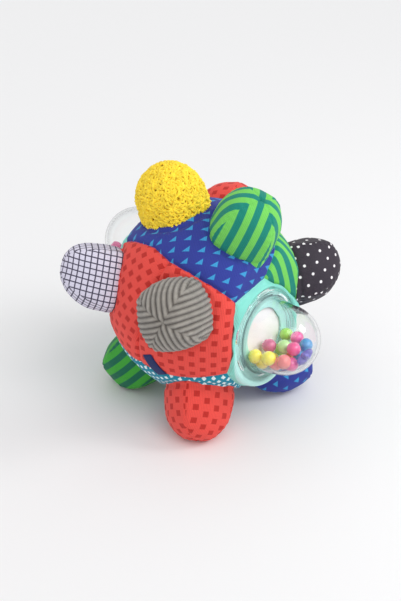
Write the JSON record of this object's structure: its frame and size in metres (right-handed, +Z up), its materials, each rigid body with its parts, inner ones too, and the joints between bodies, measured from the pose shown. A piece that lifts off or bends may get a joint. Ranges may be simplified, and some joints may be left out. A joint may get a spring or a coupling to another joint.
{
  "type": "sensory ball",
  "caption": "Stuffed fabric ball with domed stuffed knobs in mixed fabrics and clear domed windows that hold loose beads.",
  "frame": {"origin": "on the floor under the middle of the space that the ball takes", "axes": "+Z up, -Y towards the front, with the clear front window to the right of it; the ball rests on three low knobs"},
  "size_m": [0.161, 0.1518, 0.1486],
  "materials": {
    "red_squares": "woven cotton print, coral red with darker red squares",
    "blue_triangles": "woven cotton print, royal blue with light blue triangles",
    "green_stripes": "woven cotton print, light green and teal green stripes",
    "teal_diamonds": "woven cotton print, teal with pale diamonds",
    "plum_dots": "smooth knit print, dark plum with white dots",
    "aqua_fabric": "smooth plain knit, pale aqua",
    "grey_corduroy": "ribbed corduroy plush, warm grey",
    "yellow_pile": "looped curly pile, warm yellow",
    "grid_fabric": "smooth knit print, pale lilac white with dark grid lines",
    "fibrefill": "polyester stuffing",
    "navy_ribbon": "narrow plain ribbon",
    "clear_plastic": "clear moulded plastic",
    "white_plastic": "white moulded plastic",
    "blue_bead": "glossy moulded bead",
    "orange_bead": "glossy moulded bead",
    "lime_bead": "glossy moulded bead",
    "pale_lime_bead": "glossy moulded bead",
    "yellow_bead": "glossy moulded bead",
    "coral_bead": "glossy moulded bead",
    "pink_bead": "glossy moulded bead",
    "rose_bead": "glossy moulded bead",
    "violet_bead": "translucent moulded star"
  },
  "bodies": {
    "ball": {"panel_grey": "red_squares", "panel_stripe_top": "blue_triangles", "panel_yellow": "blue_triangles", "panel_dot": "green_stripes", "panel_red_low": "teal_diamonds", "panel_blue": "plum_dots", "panel_grid": "red_squares", "panel_stripe_low": "teal_diamonds", "panel_red_back": "green_stripes", "panel_back": "plum_dots", "window_panel_front": "aqua_fabric", "window_panel_rear": "aqua_fabric", "knob_grey": "grey_corduroy", "knob_stripe_top": "green_stripes", "knob_yellow": "yellow_pile", "knob_dot": "plum_dots", "knob_red_low": "red_squares", "knob_blue": "blue_triangles", "knob_grid": "grid_fabric", "knob_stripe_low": "green_stripes", "knob_red_back": "red_squares", "knob_back": "teal_diamonds", "knob_wads": "fibrefill", "ball_wad": "fibrefill", "ribbon_tab": "navy_ribbon", "front_dome": "clear_plastic", "rear_dome": "clear_plastic", "front_back_plate": "white_plastic", "rear_back_plate": "white_plastic"},
    "bead_heap": {"beads_blue": "blue_bead", "beads_orange": "orange_bead", "beads_lime": "lime_bead", "beads_yellow": "yellow_bead", "beads_coral": "coral_bead", "beads_pink": "pink_bead", "star_bead": "violet_bead"},
    "top_beads": {"top_bead_rose": "rose_bead", "top_bead_lime": "pale_lime_bead", "top_bead_pink": "pink_bead"},
    "rear_bead_heap": {"rear_beads_yellow": "yellow_bead", "rear_beads_orange": "orange_bead", "rear_beads_blue": "blue_bead", "rear_beads_pink": "pink_bead"}
  },
  "joints": [
    {"name": "heap_turn", "type": "hinge", "parent": "ball", "child": "bead_heap", "pos_m": [0.03452, -0.0289, 0.0608], "axis": [0.7659, -0.6313, 0.1219], "continuous": true},
    {"name": "top_bead_turn", "type": "hinge", "parent": "ball", "child": "top_beads", "pos_m": [0.03452, -0.0289, 0.0608], "axis": [0.7659, -0.6313, 0.1219], "continuous": true},
    {"name": "rear_heap_turn", "type": "hinge", "parent": "ball", "child": "rear_bead_heap", "pos_m": [-0.03009, 0.03401, 0.07835], "axis": [-0.6658, 0.714, 0.2164], "continuous": true}
  ]
}
